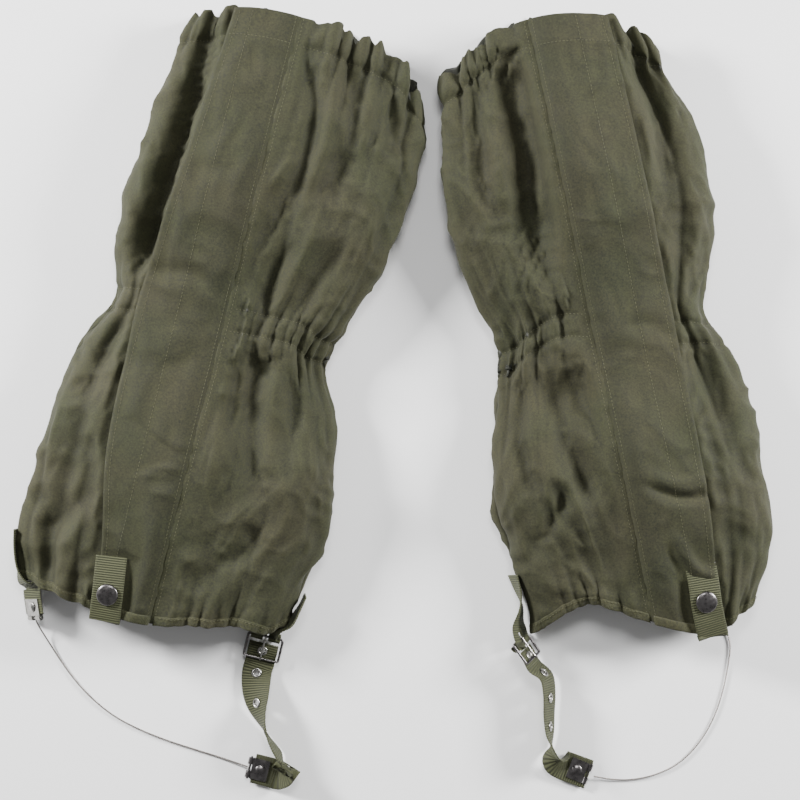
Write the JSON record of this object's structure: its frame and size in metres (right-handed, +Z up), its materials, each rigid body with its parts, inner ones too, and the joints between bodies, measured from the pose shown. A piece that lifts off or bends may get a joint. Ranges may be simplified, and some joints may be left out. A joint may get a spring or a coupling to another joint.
{
  "type": "gaiters",
  "caption": "Pair of knee-high fabric gaiters lying flat, with hook-and-loop front flaps, elastic hems, snap tabs and wire-cable foot loops with prong buckles.",
  "frame": {"origin": "centre of the bottom of the pair's bounding box, on the surface that it lies on", "axes": "+Z up from that surface, +Y from the hems up to the knee openings, +X from the left gaiter to the right one"},
  "size_m": [0.6069, 0.6238, 0.0603],
  "materials": {
    "olive_cloth": "coated twill nylon, matt, crumpled",
    "hem_tape": "folded bias binding, matt",
    "olive_webbing": "ribbed nylon webbing, matt",
    "closure_tape": "hook and loop pile, matt",
    "elastic_band": "braided elastic, matt",
    "dark_nickel": "dark nickel plate, worn at the edges",
    "bright_nickel": "bright nickel plate",
    "steel_cable": "stranded steel wire"
  },
  "bodies": {
    "left_gaiter": {"left_back_panel": "olive_cloth", "left_front_panel": "olive_cloth", "left_outer_panel": "olive_cloth", "left_loop_tape": "closure_tape", "left_top_elastic": "elastic_band", "left_mid_elastic": "elastic_band", "left_hem_binding": "hem_tape", "left_buckle_hanger": "olive_webbing", "left_clamp_hanger": "olive_webbing"},
    "left_flap": {"left_flap_panel": "olive_cloth", "left_hook_tape": "closure_tape", "left_snap_stud": "bright_nickel"},
    "left_tab": {"left_snap_tab": "olive_webbing", "left_snap_cap": "dark_nickel", "left_snap_socket": "bright_nickel"},
    "left_foot_loop": {"left_buckle_frame": "dark_nickel", "left_eyelet_strap": "olive_webbing", "left_eyelet_1": "bright_nickel", "left_eyelet_2": "bright_nickel", "left_eyelet_3": "bright_nickel", "left_eyelet_4": "bright_nickel", "left_strap_clamp": "dark_nickel", "left_strap_clamp_rivet": "dark_nickel", "left_strap_clamp_pin": "dark_nickel", "left_hanger_clamp": "bright_nickel", "left_hanger_clamp_rivet": "bright_nickel", "left_hanger_clamp_pin": "bright_nickel", "left_cable": "steel_cable"},
    "left_tongue": {"left_buckle_tongue": "bright_nickel"},
    "right_gaiter": {"right_back_panel": "olive_cloth", "right_front_panel": "olive_cloth", "right_outer_panel": "olive_cloth", "right_loop_tape": "closure_tape", "right_top_elastic": "elastic_band", "right_mid_elastic": "elastic_band", "right_hem_binding": "hem_tape", "right_buckle_hanger": "olive_webbing", "right_clamp_hanger": "olive_webbing"},
    "right_flap": {"right_flap_panel": "olive_cloth", "right_hook_tape": "closure_tape", "right_snap_stud": "bright_nickel"},
    "right_tab": {"right_snap_tab": "olive_webbing", "right_snap_cap": "dark_nickel", "right_snap_socket": "bright_nickel"},
    "right_foot_loop": {"right_buckle_frame": "dark_nickel", "right_eyelet_strap": "olive_webbing", "right_eyelet_1": "bright_nickel", "right_eyelet_2": "bright_nickel", "right_eyelet_3": "bright_nickel", "right_eyelet_4": "bright_nickel", "right_strap_clamp": "dark_nickel", "right_strap_clamp_rivet": "dark_nickel", "right_strap_clamp_pin": "dark_nickel", "right_hanger_clamp": "bright_nickel", "right_hanger_clamp_rivet": "bright_nickel", "right_hanger_clamp_pin": "bright_nickel", "right_cable": "steel_cable"},
    "right_tongue": {"right_buckle_tongue": "bright_nickel"}
  },
  "joints": [
    {"name": "left_flap_hinge", "type": "hinge", "parent": "left_gaiter", "child": "left_flap", "pos_m": [-0.19362, -0.17566, 0.05704], "axis": [0.2419, 0.9703, 0], "range_deg": [0, 110]},
    {"name": "left_tab_hinge", "type": "hinge", "parent": "left_flap", "child": "left_tab", "pos_m": [-0.22257, -0.12228, 0.04787], "axis": [-0.9924, 0.1104, -0.0549], "range_deg": [0, 150]},
    {"name": "left_foot_loop_swing", "type": "hinge", "parent": "left_gaiter", "child": "left_foot_loop", "pos_m": [-0.10305, -0.18856, 0.0066], "axis": [-0.9725, 0.2289, 0.0426], "range_deg": [0, 40], "deforming": ["left_buckle_hanger", "left_clamp_hanger"]},
    {"name": "left_tongue_hinge", "type": "hinge", "parent": "left_foot_loop", "child": "left_tongue", "pos_m": [-0.10252, -0.18849, 0.0066], "axis": [-0.9703, 0.2419, 0], "range_deg": [0, 45]},
    {"name": "right_flap_hinge", "type": "hinge", "parent": "right_gaiter", "child": "right_flap", "pos_m": [0.20595, -0.17476, 0.05711], "axis": [0.1716, -0.9852, 0], "range_deg": [0, 110]},
    {"name": "right_tab_hinge", "type": "hinge", "parent": "right_flap", "child": "right_tab", "pos_m": [0.24448, -0.13272, 0.04788], "axis": [-0.9861, -0.1372, 0.0934], "range_deg": [0, 150]},
    {"name": "right_foot_loop_swing", "type": "hinge", "parent": "right_gaiter", "child": "right_foot_loop", "pos_m": [0.10106, -0.19004, 0.0136], "axis": [-0.9763, -0.2087, 0.0576], "range_deg": [0, 40], "deforming": ["right_buckle_hanger", "right_clamp_hanger"]},
    {"name": "right_tongue_hinge", "type": "hinge", "parent": "right_foot_loop", "child": "right_tongue", "pos_m": [0.10121, -0.19028, 0.0136], "axis": [-0.3992, -0.2871, 0.8708], "range_deg": [0, 45]},
    {"name": "right_gaiter_slide", "type": "slide", "parent": "left_gaiter", "child": "right_gaiter", "axis": [1, 0, 0], "range_m": [0, 0.15]}
  ]
}
